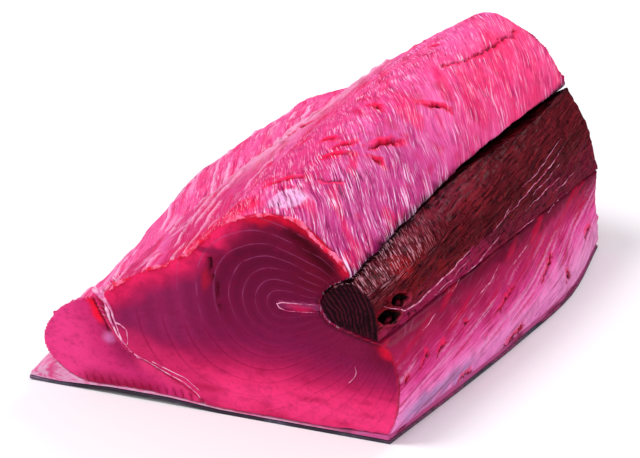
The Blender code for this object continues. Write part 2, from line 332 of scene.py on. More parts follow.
SEAM_ON_CUT = ((-62, 57), (-56.6, 51.7), (-54.3, 44.5), (-50.3, 35.9), (-44.8, 28), (-36, 24), (-26.6, 20.3),
               (-10, 14), (-3, 9), (0, 5))
TORN_GASHES = 8
GASHES = (
    # start x and y, end x and y, depth, lip, width: across the top
    (54, -65.5, 66, -40.5, 4.2, 0.5, 1.9),
    (38, -88, 52, -76, 3.4, 0.45, 1.7),
    (39, -75.5, 46, -63, 2.2, 0.45, 1.5),
    (24, -60, 37, -62, 2.1, 0.4, 1.5),
    (34, -12, 45, -20, 2.2, 0.5, 1.5),
    (21, -115.5, 40, -113, 2, 0.6, 1.6),
    (60, -71, 66, -69, 2, 0.4, 1.6),
    (58, 3, 70, 18, 1.8, 0.4, 1.4),
    (60, 154, 58.5, 118, 2.6, 0.1, 1.15),
    (59.5, 126, 55.5, 80, 2, 0.1, 1),
    (56.5, 90, 49, 50, 1.4, 0.1, 0.9),
    (-8, 60, 6, 66, 1.6, 0.3, 1.4),
    (20, 100, 34, 96, 1.8, 0.3, 1.4),
    (60, -103, 46, -116, 1.2, 0.5, 1.4),
    (4, -52, 16, -48, 1.3, 0.3, 1.4),
    (-35, 66, -25, 88, 2.2, 0.5, 1.6),
    (-47, 4, -38, 30, 1.8, 0.5, 1.5),
    (-62, -66, -52, -42, 1.8, 0.5, 1.5),
    (-30, 18, -20, 44, 1.5, 0.4, 1.3),
)
SIDE_GASHES = (
    # start y and z, end y and z, depth, lip, width: on the right side
    (-134, 35, -119, 39.5, 1.6, 0.5, 1.7),
    (-113, 33, -98, 38.5, 1.7, 0.5, 1.8),
    (-153, 31.5, -144.5, 35, 1.3, 0.5, 1.6),
    (118, 18.5, 142, 22, 1.8, 0.5, 1.8),
    (66, 13, 79, 15.5, 1.4, 0.4, 1.7),
    (-76.5, 38, -72, 39.5, 1.2, 0.4, 1.6),
    (-52, 20, -47.5, 21.5, 1.2, 0.4, 1.6),
    (-82, 6.5, -62, 7.5, 1.4, 0.3, 1.6),
    (-26, 6, 9, 7.5, 1.4, 0.3, 1.7),
    (30, 24, 62, 33, 0.9, 0.2, 1.5),
    (-40, 30, -6, 38, 0.9, 0.2, 1.5),
)
TEAR = ((4.6, 87.5), (5.6, 79.5), (8.0, 75.5), (10.8, 60.0))


def gash_shape(points, gashes, seed):
    """The depth pushed in, and how open and how raised each point is, for a list of gashes."""
    depth = np.zeros(len(points))
    opened = np.zeros(len(points))
    lifted = np.zeros(len(points))
    flat = np.c_[points, np.zeros(len(points))]
    wander = 1.5 * noise(flat, 6, seed) + 1.5 * noise(flat, 2.2, seed + 1)
    for *ends, deep, lip, width in gashes:
        start, end = np.array(ends, float).reshape(2, 2)
        _, along = to_segment(points, start, end)
        direction = (end - start) / np.linalg.norm(end - start)
        offset = points - start
        across = offset[:, 0] * -direction[1] + offset[:, 1] * direction[0] + wander
        beyond = np.abs(offset @ direction - along * np.linalg.norm(end - start))
        taper = np.clip(np.sin(np.pi * np.clip(along, 0.02, 0.98)), 0, 1) ** 0.6 * bump_at(beyond, 2)
        groove = bump_at(np.abs(across), width) * taper
        flank = bump_at(np.abs(across - width * 1.4), width * 1.8) * taper
        depth += lip * flank - deep * groove
        opened = np.maximum(opened, groove)
        lifted = np.maximum(lifted, flank)
    return depth, opened, lifted


def gaps_to(flesh, trees, reach):
    """Each point's distance to the nearest of other layers, up to the reach."""
    gaps = np.full(len(flesh.co), reach)
    for index, place in enumerate(flesh.co):
        for tree in trees:
            found = tree.find_nearest(Vector(place) * MM, reach * MM)
            if found[0] is not None:
                gaps[index] = min(gaps[index], found[3] / MM)
    return gaps


def outer_share(flesh):
    """0 on surfaces that lie against another layer, 1 on free ones."""
    gaps = gaps_to(flesh, [tree for name, tree in layer_trees.items() if name != flesh.node], CONTACT_REACH)
    return np.clip((gaps - CONTACT_GAP) / (CONTACT_REACH - CONTACT_GAP), 0, 1)


def cuts_of(flesh):
    """Masks of the front cut and of both cuts, easing to 0 round their rims."""
    front, back = (ease(0.45, 0.9, sign * flesh.no[:, 1]) * bump_at(np.abs(flesh.y - end), 7)
                   for sign, end in ((-1, FRONT), (1, BACK)))
    return front, np.clip(front + back, 0, 1)


LEAN_PLACES = np.linspace(-140, 140, 281)
LEAN = 0.32 + 0.33 * ease(-30, 80, LEAN_PLACES)
LEAN_SWEEP = np.cumsum(1 / np.tan(LEAN))


def fibre_lines(x, y):
    """Runs across the fibres of the top, which lean more to the right of the block, and along them."""
    across = 0.44 * (y + np.interp(x, LEAN_PLACES, LEAN_SWEEP))
    return across, 0.87 * y - 0.5 * x


def fold_lines(across, along, spacing, seed):
    """Long sharp folds a spacing apart that come and go: the foot of each one, where shade is painted, and
    its crest, where a highlight is painted.
    """
    row = np.floor(across / spacing + 0.5)
    offset = across - row * spacing
    gate = noise(np.c_[row * 3.7, along, 0 * along], (1, 30, 1), seed)
    shown = ease(-0.15, 0.35, gate)
    width = 0.8 + 0.7 * noise(np.c_[row * 2.3, along, 0 * along], (1, 14, 1), seed + 1)
    crest = shown * bump_at(np.abs(offset), 1.5 + 0.5 * width)
    foot = shown * bump_at(np.abs(offset - 3), 2.4)
    return foot, crest


def make_loin():
    flesh = remeshed("loin_flesh", "loin", voxel=1.12, smoothing=3)
    free = outer_share(flesh)
    from_dark = gaps_to(flesh, [layer_trees["dark_muscle"]], 9.0)
    front, cut = cuts_of(flesh)
    x, y, z = flesh.co.T
    side = (1 - cut) * ease(80, 68, z) * ease(70, 92, x)
    top = (1 - cut) * (1 - side)
    plan, section, flank = flesh.co[:, [0, 1]], flesh.co[:, [0, 2]], flesh.co[:, [1, 2]]

    # the top is in bands, each a sheet of fibres that ends under the next one
    band = (y - 0.445 * x + 5 * flesh.noise(45, 31)) / 31 + 0.5 * noise(np.c_[y, 0 * y, 0 * y], 60, 32)
    sheet = np.floor(band)
    across, along = fibre_lines(x, y)
    across = across + 1.6 * flesh.noise((18, 30, 18), 33)
    grain = np.c_[across, along, z]
    side_grain = np.c_[z - 0.17 * y + 1.2 * flesh.noise((20, 40, 20), 34), y, x]
    grain = grain + (side_grain - grain) * (side > 0.5)[:, None]
    rings = np.where(y < 0, ring_count(section, RING_HEART), ring_count(section, BACK_RING_HEART))

    lumps = 1 * flesh.layers(34, 11) + 0.45 * flesh.noise(11, 12)
    bundles = noise(grain, (3.2, 26, 14), 21) + 0.6 * noise(grain, (1.7, 13, 9), 22)
    edge_of_sheet = (1 - (band - sheet)) ** 2 * ease(0, 0.12, band - sheet)
    edge_of_sheet = edge_of_sheet * np.clip(0.35 + flesh.noise(26, 35), 0, 1)
    push = lumps * (top + 0.6 * side) + 0.34 * bundles * (top + 0.9 * side)
    push += top * 0.8 * edge_of_sheet * ease(-60, -20, x)
    push += 2.2 * (1 - cut) * bump_at(z, 10) * ease(80, 100, x)
    push += cut * (0.35 * flesh.noise(22, 13) + 0.15 * np.cos(2 * np.pi * rings))
    push += 0.8 * (1 - free) * ease(0, 0.25, free)
    ragged = flesh.noise(5, 36) + 0.7 * flesh.noise(2.6, 37)
    push += 1.3 * ragged * np.clip(4 * cut * (1 - cut), 0, 1) * (z > 14)

    left = top * ease(10, -25, x)
    folds, crest = fold_lines(x + 0.14 * y + 0.5 * (z - 70) + 3 * flesh.noise(26, 38), y, 8.5, 39)
    push += left * 1.5 * crest
    top_depth, top_open, top_lift = gash_shape(plan, GASHES, 41)
    side_depth, side_open, side_lift = gash_shape(flank, SIDE_GASHES, 42)
    push += top * top_depth + side * side_depth
    tear, tear_place = to_line(section, TEAR)
    tear = np.abs(tear + 0.5 * flesh.noise(3, 43))
    front_only = front * (y < 0)
    push -= front_only * 2.2 * bump_at(tear, 1.9 - 1 * tear_place)
    between = oval(x - 57, 12, z - 68.6, 2.4)
    push -= front_only * 0.8 * ease(0, 0.6, between)
    flesh.push(push * np.where(free < 0.02, 0, 1))

    mottle = flesh.layers(16, 61)
    fine = flesh.noise(5, 62)
    sheen_patch = paint_top(flesh, mottle, fine)
    paint = flesh.paint
    # on the left slope: painted shade at the foot of each fold and a painted highlight on each crest, then
    # the whole slope darkened as painted shade against the key light
    paint((206, 30, 88), 0.6 * left * folds)
    paint((250, 176, 212), 0.8 * left, (0.25, 0.9, crest))
    flesh.tone *= (1 - 0.13 * left)[:, None]
    paint_side(flesh, side, mottle, fine, from_dark)
    paint_cut(flesh, cut, rings, mottle, fine, from_dark)
    opened = np.clip(top * top_open + side * side_open, 0, 1)
    lifted = np.clip(top * top_lift + side * side_lift, 0, 1)
    near_gash = np.zeros(len(x))
    for gash in GASHES[:TORN_GASHES]:
        spread, _ = to_segment(plan, gash[:2], gash[2:4])
        near_gash = np.maximum(near_gash, bump_at(spread, 7))
    torn = ease(0.35, 0.6, near_gash * (0.75 + 0.8 * flesh.noise(4, 44)))
    paint((228, 26, 74), 0.8 * torn * top)
    paint(CRIMSON, 0.7, (0.25, 0.8, lifted))
    paint(BLOOD_RED, 1, (0.1, 0.5, opened))
    # painted shade: the deepest part of each gash near black
    paint(CRACK_SHADE, 0.95, (0.5, 0.9, opened))
    beside_tear = oval(x - 2.5, 4.5, z - 76, 11)
    paint((160, 20, 52), 0.9 * front_only, (0.1, 0.7, beside_tear + 0.3 * fine))
    # painted shadow round the tear, and painted shade near black in its upper part
    paint(SHADOW_BROWN, front_only * bump_at(tear, 2.6 - 1.2 * tear_place))
    paint(CRACK_SHADE, front_only * bump_at(tear, 1.7), (0.5, 0, tear_place))
    paint((204, 28, 84), front_only * 0.8, (0, 0.5, between))
    # painted shade on the loin's wall of the groove, darkest next to the dark muscle
    groove_shade = (1 - cut) * (z > 72)
    paint((110, 14, 50), 0.8 * groove_shade, (8, 4, from_dark + 1.5 * fine))
    paint((26, 4, 14), 0.95 * groove_shade, (5.4, 2.8, from_dark + 1.2 * fine))

    # the rounded rim of the front cut painted crimson, partly painted glow of light through the thin edge
    edge = np.clip(4 * cut * (1 - cut), 0, 1) * (z > 14)
    paint((214, 28, 74), 0.9 * edge * (y < 0), (60, 30, x))
    paint((186, 18, 54), 0.9 * edge * (y < 0), (30, 60, x))
    # how strongly the fibre streaks of the top show: the fibres are the flesh's own, their pale lilac is
    # partly painted sheen and glints
    near = ease(-20, -120, y)
    fibre_sheen = 0.42 + 0.25 * mottle + 0.45 * near * ease(22, 44, x) - 0.28 * ease(20, -30, x)
    raw = np.clip(ease(0.15, 0.5, lifted) + opened, 0, 1)
    fibre_sheen = np.clip(np.maximum(fibre_sheen, ease(0.1, 0.4, sheen_patch)), 0, 1) * top * (1 - raw) * (1 - edge)
    # the fibre streaks of the right side, partly painted sheen
    side_fibre_sheen = side * np.clip(0.7 + 0.4 * mottle - 0.62 * ease(36, 54, z), 0, 1) * (1 - raw)
    flesh.values = {"fibre_sheen": fibre_sheen, "side_fibre_sheen": side_fibre_sheen, "cut": cut, "ring": rings,
                    "ring_glow": ring_glow(flesh, cut), "grain": grain}
    return flesh.finish(flesh_material(), "red_flesh")


def ring_glow(flesh, cut):
    """How pale (above 0) or dark (below 0) the ring lines are: pale above and to the left, dark below."""
    x, z = flesh.x, flesh.z
    height = ease(54, 78, z)
    left = ease(36, 10, x) * ease(36, 50, z) * ease(-18, 0, x)
    pale = np.clip(0.2 + 0.7 * height * ease(90, 60, x) + 0.2 * left, 0, 1)
    pale = pale * ease(-25, 0, x)
    low = ease(58, 44, z)
    return cut * (pale * (1 - low) - 0.42 * low * ease(14, 34, z))


# each row is a place or a height, and the display colour there
TOP_COLOURS = ((-150, 214, 50, 112), (-60, 220, 62, 128), (40, 232, 74, 138), (150, 240, 84, 142))
# on the right side the flesh is palest low down, partly painted sheen
SIDE_COLOURS = ((2, 206, 84, 156), (8, 242, 134, 204), (16, 250, 142, 208), (22, 248, 112, 186),
                (29, 232, 70, 152), (36, 210, 48, 122), (43, 184, 34, 94), (50, 158, 28, 74),
                (56, 128, 24, 60), (63, 98, 16, 42))
# on the cuts the flesh is brightest along the foot, partly paler flesh near the skin and partly painted
# bounce light from the floor
CUT_COLOURS = ((4, 222, 50, 110), (14, 236, 56, 120), (23, 228, 48, 110), (30, 192, 34, 90),
               (38, 152, 26, 78), (47, 124, 22, 70), (60, 110, 18, 60), (96, 92, 13, 46), (116, 118, 18, 54))


def paint_top(flesh, mottle, fine):
    """Pink above: paler and more lilac on the front right slope, partly painted sheen, with a patch of
    painted highlight near the front, crimson behind the front rim.
    """
    x, y, z = flesh.co.T
    flesh.tone[:] = ladder(y + 14 * mottle, TOP_COLOURS)
    streak_across, streak_along = fibre_lines(x, y)
    run = np.c_[streak_across + 5 * mottle, streak_along, z]
    paint = flesh.paint
    paint((238, 96, 164), 0.8, (0, 0.5, noise(run, (7, 70, 30), 66)))
    # partly painted sheen: the front right slope more lilac
    paint((196, 70, 142), 0.75, (36, 60, x + 6 * mottle), (20, -50, y))
    paint((226, 34, 96), 0.75, (0.15, 0.5, noise(run, (6, 34, 30), 63)))
    red_shoulder = oval(x - 2, 36, y + 142, 30)
    paint((232, 26, 76), 0.85, (0.05, 0.5, red_shoulder + 0.15 * fine))
    paint((190, 26, 80), 0.55, (0.35, 0.7, noise(run, (4, 18, 12), 65)))
    # painted highlight along the crest between the top and the left slope
    ridge = np.abs(x + 44 - 0.06 * (y + 158) - 3 * mottle)
    paint((246, 150, 200), 0.8 * bump_at(ridge, 5), (-0.5, 0.3, fine + mottle))
    paint((250, 56, 116), 0.6, (30, 60, x), (20, 90, y))
    paint((248, 172, 210), 0.7, (-8, -40, x), (-70, 10, y + 12 * mottle))
    junction = oval(x - 93, 9, y + 150, 12) * (z > 80)
    paint((206, 16, 50), 0.9, (0.1, 0.5, junction + 0.3 * fine))
    # painted highlight: a pale lilac patch on the top near the front
    sheen_patch = oval(x - 41 + 2 * fine, 13, y + 139 + 2 * mottle, 18)
    paint((244, 176, 224), 1, (0.1, 0.35, sheen_patch))
    return sheen_patch


def paint_side(flesh, side, mottle, fine, from_dark):
    """The right side: wine under the dark muscle, magenta, then pale pink towards the foot, partly painted
    sheen.
    """
    x, y, z = flesh.co.T
    on_side_face = flesh.painter(side)
    height = z + 4 * mottle + 2 * fine
    flesh.paint(ladder(height, SIDE_COLOURS), side)
    # pale lilac low on the side and a lilac grey band at the front, partly painted sheen
    on_side_face((232, 160, 200), 0.5, (26, 10, z), (20, 110, y))
    on_side_face((120, 24, 56), 0.6, (30, 46, z), (80, 130, y))
    on_side_face((176, 138, 190), 0.85 * bump_at(np.abs(z - 12 - 3 * fine), 8), (-50, -85, y + 10 * mottle),
                 (-160, -140, y))
    on_side_face((88, 14, 38), 0.75, (9, 1.5, from_dark + 3 * fine + 3 * mottle), (-100, -20, y))
    run = np.c_[z - 0.2 * y, y, 0 * y]
    streaks = noise(run, (2.4, 40, 1), 64)
    on_side_face((196, 18, 62), 0.6, (0.3, 0.65, streaks), (10, 22, z))
    pale_streaks = noise(run, (2.2, 50, 1), 67)
    on_side_face((246, 160, 210), 0.5, (0.35, 0.7, pale_streaks), (50, 36, z))


def paint_cut(flesh, cut, rings, mottle, fine, from_dark):
    """The cuts: wine in the middle, purple to the left, hot pink along the foot, partly painted bounce light,
    and crimson at the rim, partly painted glow through the thin edge.
    """
    x, y, z = flesh.co.T
    on_cut = flesh.painter(cut)
    height = z + 2.5 * mottle + 1.2 * fine + 0.05 * np.abs(x - 40)
    flesh.paint(ladder(height, CUT_COLOURS), cut)
    on_cut((140, 32, 84), 0.8, (16, -20, x), (32, 44, z))
    on_cut((98, 12, 40), 1, (44, 66, x), (72, 84, z))
    on_cut((122, 22, 60), 0.8 * bump_at(np.abs(z - 54), 18), (56, 84, x))
    on_cut((100, 14, 44), 0.8 * bump_at(np.abs(z - 50), 18), (88, 104, x + 3 * fine))
    seam_distance, _ = to_line(flesh.co[:, [0, 2]], SEAM_ON_CUT)
    on_cut((198, 40, 96), 0.8, (18, 6, seam_distance + 2 * fine), (44, 36, z))
    soft_veins = flesh.noise((12, 60, 3.5), 66)
    on_cut((170, 22, 66), 0.55, (0.2, 0.6, soft_veins), (44, 30, z))
    flesh.tone *= (1 + 0.09 * cut * ease(24, 40, z) * np.cos(2 * np.pi * rings))[:, None]
    rim = rim_distance(flesh, from_dark)
    near_rim = rim + 3 * fine + 3 * mottle
    left_rim = ease(34, 12, x)
    # the crimson band along the rim, partly painted glow of light through the thin edge
    on_cut((196, 30, 84), 0.7 * left_rim, (17, 7, near_rim))
    on_cut((226, 36, 94), left_rim, (10, 3, near_rim))
    on_cut((204, 18, 52), 1 - left_rim, (7, 2, near_rim))
    # painted shadow under the rim on the right of the cut
    on_cut((60, 4, 16), 0.95 * bump_at(np.abs(rim - 8.5 + fine), 6.5), (40, 56, x), (84, 94, z))
    ledge = oval(x - 6, 15, z - 93 + 2 * mottle, 3.5)
    on_cut((112, 20, 62), 0.7 * (y < 0), (0.1, 0.6, ledge))
    on_cut((206, 24, 66), 0.8, (6.5, 2, 119 - x + 2 * fine), (60, 48, z))
    on_cut((56, 8, 24), 1, (4, 1, from_dark))


def rim_distance(flesh, from_dark):
    """Distance in the plane of a cut to its free outline over the top."""
    distance = np.full(len(flesh.co), 99.0)
    for end in (FRONT, BACK):
        near = np.abs(flesh.y - end) < 5
        lean = np.abs(flesh.no[:, 1])
        rim = near & (flesh.no[:, 2] > 0.35) & (lean > 0.15) & (lean < 0.8) & (from_dark > 5) & (flesh.z > 50)
        places = flesh.co[rim][:, [0, 2]][::3]
        rows = np.flatnonzero(near)
        for part in np.array_split(rows, len(rows) // ROWS_AT_ONCE + 1):
            gaps = flesh.co[part][:, None, [0, 2]] - places[None]
            distance[part] = np.sqrt((gaps**2).sum(2)).min(1)
    return distance


# ---- materials


class Nodes:
    """A material's node tree, with short calls for the nodes that the finishes share."""

    def __init__(self, name):
        self.material = bpy.data.materials.new(name)
        self.material.use_nodes = True
        self.tree = self.material.node_tree
        self.place = self.add("ShaderNodeTexCoord").outputs["Object"]

    def add(self, kind, **settings):
        node = self.tree.nodes.new(kind)
        for key, value in settings.items():
            setattr(node, key, value)
        return node

    def join(self, value, socket):
        if isinstance(value, bpy.types.NodeSocket):
            self.tree.links.new(value, socket)
        else:
            socket.default_value = value

    def attribute(self, name, output="Fac"):
        return self.add("ShaderNodeAttribute", attribute_name=name).outputs[output]

    def math(self, operation, first, *others):
        """One operation run along the values, from left to right."""
        for other in others:
            node = self.add("ShaderNodeMath", operation=operation)
            self.join(first, node.inputs[0])
            self.join(other, node.inputs[1])
            first = node.outputs[0]
        return first

    def product(self, *values):
        return self.math("MULTIPLY", *values)

    def total(self, *values):
        return self.math("ADD", *values)

    def ramp(self, value, low, high):
        """0 below low and 1 above high, smooth between, and the other way round where low is the higher."""
        node = self.add("ShaderNodeMapRange", interpolation_type="SMOOTHSTEP", clamp=True)
        self.join(value, node.inputs["Value"])
        self.join(low, node.inputs["From Min"])
        self.join(high, node.inputs["From Max"])
        return node.outputs["Result"]

    def noise(self, vector, scale, detail=2.0, rough=0.5):
        """Noise of one scale, or with a scale for each axis."""
        if isinstance(scale, tuple):
            stretch = self.add("ShaderNodeVectorMath", operation="MULTIPLY")
            self.join(vector, stretch.inputs[0])
            self.join(scale, stretch.inputs[1])
            vector, scale = stretch.outputs[0], 1.0
        node = self.add("ShaderNodeTexNoise")
        for value, name in ((vector, "Vector"), (scale, "Scale"), (detail, "Detail"), (rough, "Roughness")):
            self.join(value, node.inputs[name])
        return node.outputs["Fac"]

    def tint(self, colour, display, *shares):
        """The colour with a display colour mixed in, by the product of the shares."""
        node = self.add("ShaderNodeMix", data_type="RGBA")
        self.join(self.product(*shares), node.inputs["Factor"])
        self.join(colour, node.inputs[6])
        self.join((*linear(*display), 1.0), node.inputs[7])
        return node.outputs[2]

    def wet(self, colour, roughness, height, depth, strength, coat, coat_roughness=0.18):
        """A moist surface: a bump of a depth in metres, and a thin coat in place of its own shine."""
        bump = self.add("ShaderNodeBump")
        self.join(height, bump.inputs["Height"])
        self.join(depth, bump.inputs["Distance"])
        self.join(strength, bump.inputs["Strength"])
        shader = self.tree.nodes["Principled BSDF"].inputs
        self.join(colour, shader["Base Color"])
        self.join(roughness, shader["Roughness"])
        self.join(bump.outputs["Normal"], shader["Normal"])
        shader["Specular IOR Level"].default_value = 0.0
        shader["Coat Weight"].default_value = coat
        shader["Coat Roughness"].default_value = coat_roughness
        return self.material


def flesh_material():
    """Red muscle: fibres and pale streaks outside, the pale streaks partly painted sheen, ring lines and a
    fine grain on the cuts.
    """
    made = Nodes("red_muscle")
    grain, place = made.attribute("grain", "Vector"), made.place
    fibre_sheen, side_fibre_sheen = made.attribute("fibre_sheen"), made.attribute("side_fibre_sheen")
    cut, glow = made.attribute("cut"), made.attribute("ring_glow")
    tint, ramp, product, total = made.tint, made.ramp, made.product, made.total

    # on top: soft bands of light and dark fibres, then fine pale and dark hairs where the fibre sheen is
    # patchy; the pale bands and hairs are partly painted sheen and glints, the dark hairs partly painted
    # shade in the crevices
    streaks = made.noise(grain, (0.80, 0.040, 0.06), detail=3.0, rough=0.62)
    hairs = made.noise(grain, (1.75, 0.060, 0.08), rough=0.6)
    patchy = product(fibre_sheen, ramp(made.noise(place, 60.0), 0.3, 0.6))
    colour = tint(made.attribute("tone", "Color"), (158, 34, 104), ramp(streaks, 0.49, 0.36), fibre_sheen, 0.85)
    colour = tint(colour, (240, 150, 206), ramp(streaks, 0.52, 0.68), fibre_sheen, 0.65)
    colour = tint(colour, (255, 218, 246), ramp(hairs, 0.56, 0.63), patchy)
    colour = tint(colour, (104, 8, 70), ramp(hairs, 0.45, 0.38), patchy)

    # on the right side: long pale lines, and fine dark red hairs between them; the pale lines and hairs are
    # partly painted sheen
    side_lines = made.noise(grain, (0.75, 0.016, 0.03), detail=4.0, rough=0.62)
    side_hairs = made.noise(grain, (1.2, 0.05, 0.1), detail=3.0, rough=0.65)
    colour = tint(colour, (130, 10, 60), ramp(side_hairs, 0.48, 0.36), side_fibre_sheen, 0.55)
    colour = tint(colour, (240, 150, 204), ramp(side_hairs, 0.54, 0.68), side_fibre_sheen, 0.5)
    colour = tint(colour, (150, 12, 52), ramp(side_lines, 0.46, 0.36), side_fibre_sheen, 0.7)
    colour = tint(colour, (240, 150, 200), ramp(side_lines, 0.61, 0.70), side_fibre_sheen, 0.75)

    # on the cuts: the ring lines, pale or dark, then blotches, marbling and specks
    turn = made.math("FRACT", made.attribute("ring"), 0.0)
    ring_line = ramp(made.math("ABSOLUTE", made.math("SUBTRACT", turn, 0.5), 0.0), 0.425, 0.49)
    broken = ramp(made.noise(place, 120.0), 0.30, 0.60)
    colour = tint(colour, (168, 74, 128), ring_line, broken, made.math("MAXIMUM", glow, 0.0), 0.42)
    colour = tint(colour, (120, 8, 44), ring_line, made.math("MINIMUM", glow, 0.0), -0.9)
    colour = tint(colour, (130, 12, 60), ramp(made.noise(place, 95.0, detail=3.0), 0.52, 0.75), 0.25)
    marbling = made.noise(place, (130.0, 130.0, 286.0), detail=4.0, rough=0.6)
    colour = tint(colour, (120, 6, 44), ramp(marbling, 0.52, 0.30), cut, 0.22)
    cut_grain = made.noise(place, 460.0, detail=3.0)
    colour = tint(colour, (84, 8, 40), ramp(cut_grain, 0.48, 0.30), cut, 0.16)

    height = total(product(total(hairs, streaks), fibre_sheen), product(total(side_hairs, side_lines), side_fibre_sheen),
                   product(streaks, made.math("SUBTRACT", 1.0, cut), 0.4), product(cut_grain, cut, 0.25),
                   product(ring_line, cut, 0.2))
    return made.wet(colour, total(0.28, product(streaks, 0.25)), height, depth=0.0011, strength=0.9,
                    coat=0.05, coat_roughness=0.3)


# ---- side lobe


LOBE_CRACK = ((-69, 59), (-64.5, 55.5), (-61, 49.5), (-57.5, 43), (-55, 38.5))


def make_side_lobe():
    flesh = remeshed("side_lobe_flesh", "side_lobe", voxel=0.95, smoothing=3)
    free = outer_share(flesh)
    front, cut = cuts_of(flesh)
    outside = 1 - cut
    x, y, z = flesh.co.T
    slope = x * 0.62 + z * 0.78
    across = slope * 0.95 + y * 0.30 + 1.5 * flesh.noise((20, 40, 20), 103)
    grain = np.c_[across, y * 0.95 - slope * 0.30, x - z]

    lumps = 0.9 * flesh.layers(36, 111) + 0.4 * flesh.noise(12, 112)
    bundles = noise(grain, (4.2, 30, 12), 121) + 0.5 * noise(grain, (2, 16, 8), 122)
    steps = noise(np.c_[x + 0.35 * y, y, z], (70, 26, 60), 131)
    folds, crest = fold_lines(grain[:, 0] + 1.5 * flesh.noise(18, 133), grain[:, 1], 7, 132)
    push = outside * (lumps + 0.24 * bundles + 0.7 * ease(-0.05, 0.05, steps) + 1.2 * crest)
    push += cut * 0.35 * flesh.noise(24, 113)
    bent = x + 0.35 * z + 0.8 * flesh.noise(5, 114)
    ticks = np.abs(bent / 4.8 - np.round(bent / 4.8)) * 4.8
    tick_area = ease(12, 7, z) * ease(1, 3.5, z) * ease(-78, -70, x)
    push -= front * 0.8 * bump_at(ticks, 0.9) * tick_area
    crack, crack_place = to_line(np.c_[x, z], LOBE_CRACK)
    crack = np.abs(crack + 0.5 * flesh.noise(3, 115))
    push -= front * 3.4 * bump_at(crack, 2.6) * ease(1, 0.7, crack_place)
    flesh.push(push * np.clip(free * 1.2, 0, 1))
    x, y, z = flesh.co.T

    mottle = flesh.layers(18, 161)
    fine = flesh.noise(5, 163)
    flesh.tone[:] = linear(236, 84, 148)
    on_cut = flesh.painter(cut)
    on_outside = flesh.painter(outside)
    # painted shade at the foot of each fold
    on_outside((214, 34, 96), 0.6 * folds)
    on_outside((224, 36, 100), 0.5, (0, 0.45, noise(grain, (3, 60, 30), 164)))
    on_outside((248, 166, 208), 0.45, (0.1, 0.6, noise(grain, (2.6, 60, 30), 162)))
    # painted highlight on each crest
    on_outside((250, 178, 214), 0.8, (0.25, 0.9, crest))
    on_outside((226, 50, 110), 1, (-146, -156, y + 3 * fine))
    paint = flesh.paint
    paint((228, 60, 130), cut)
    seam_distance, _ = to_line(np.c_[x, z], SEAM_ON_CUT)
    on_cut((190, 34, 100), 0.7, (30, 10, seam_distance + 4 * mottle))
    on_cut((146, 26, 76), 0.85, (13, 3, seam_distance + 3 * mottle), (48, 38, z), (-28, -40, x))
    on_cut((146, 20, 60), 0.9, (17, 6, z + 2 * mottle), (-80, -64, x), (-20, -34, x))
    on_cut((216, 52, 112), 0.9, (9, 3, seam_distance + fine), (-44, -34, x))
    paint((234, 20, 56), front, (7, 3, crack + 2.5 * fine), (38, 44, z))
    # painted shade deep in the crack
    paint((84, 4, 24), front, (2.4, 1.2, crack))
    paint((140, 12, 50), front * 0.85 * bump_at(ticks, 1.3) * tick_area)
    on_cut((226, 130, 200), 0.6 * oval(x + 56, 6, z - 33, 5))
    on_cut((244, 84, 152), 0.5, (16, 6, x + 108 + 2 * fine))
    # how strongly the fibre streaks show outside, their pale lilac partly painted sheen
    fibre_sheen = outside * np.clip(0.30 + 0.2 * flesh.noise(30, 151), 0, 1)
    flesh.values = {"fibre_sheen": fibre_sheen, "side_fibre_sheen": 0 * x, "cut": cut, "ring": 0.5 + 0 * x, "ring_glow": 0 * x,
                    "grain": grain}
    return flesh.finish(flesh_material(), "pink_flesh")


# ---- dark muscle


VESSEL_TILT = -0.22
VESSEL_MOUTHS = (
    # place along the block from the front cut, height, half length and half width of each opening
    (27.5, 70.4, 10.5, 3.4),
    (12.5, 66.4, 12.0, 4.0),
)


def vessel_distance(flesh, along, height, length, width):
    """1 at the edge of a blood vessel's mouth, on the outer face of the dark muscle, and 0 at its middle."""
    y, z = flesh.y - FRONT - along, flesh.z - height
    level, rise = np.cos(VESSEL_TILT), np.sin(VESSEL_TILT)
    distance = np.hypot((y * level + z * rise) / length, (z * level - y * rise) / width)
    return np.where(flesh.x > 88, distance, 9.0)


SEPTUM_PLACES = (-158, -131, -112, -89, -62, -40, 40)
SEPTUM_HEIGHTS = (62.5, 63.6, 62.3, 65, 68, 70, 72)


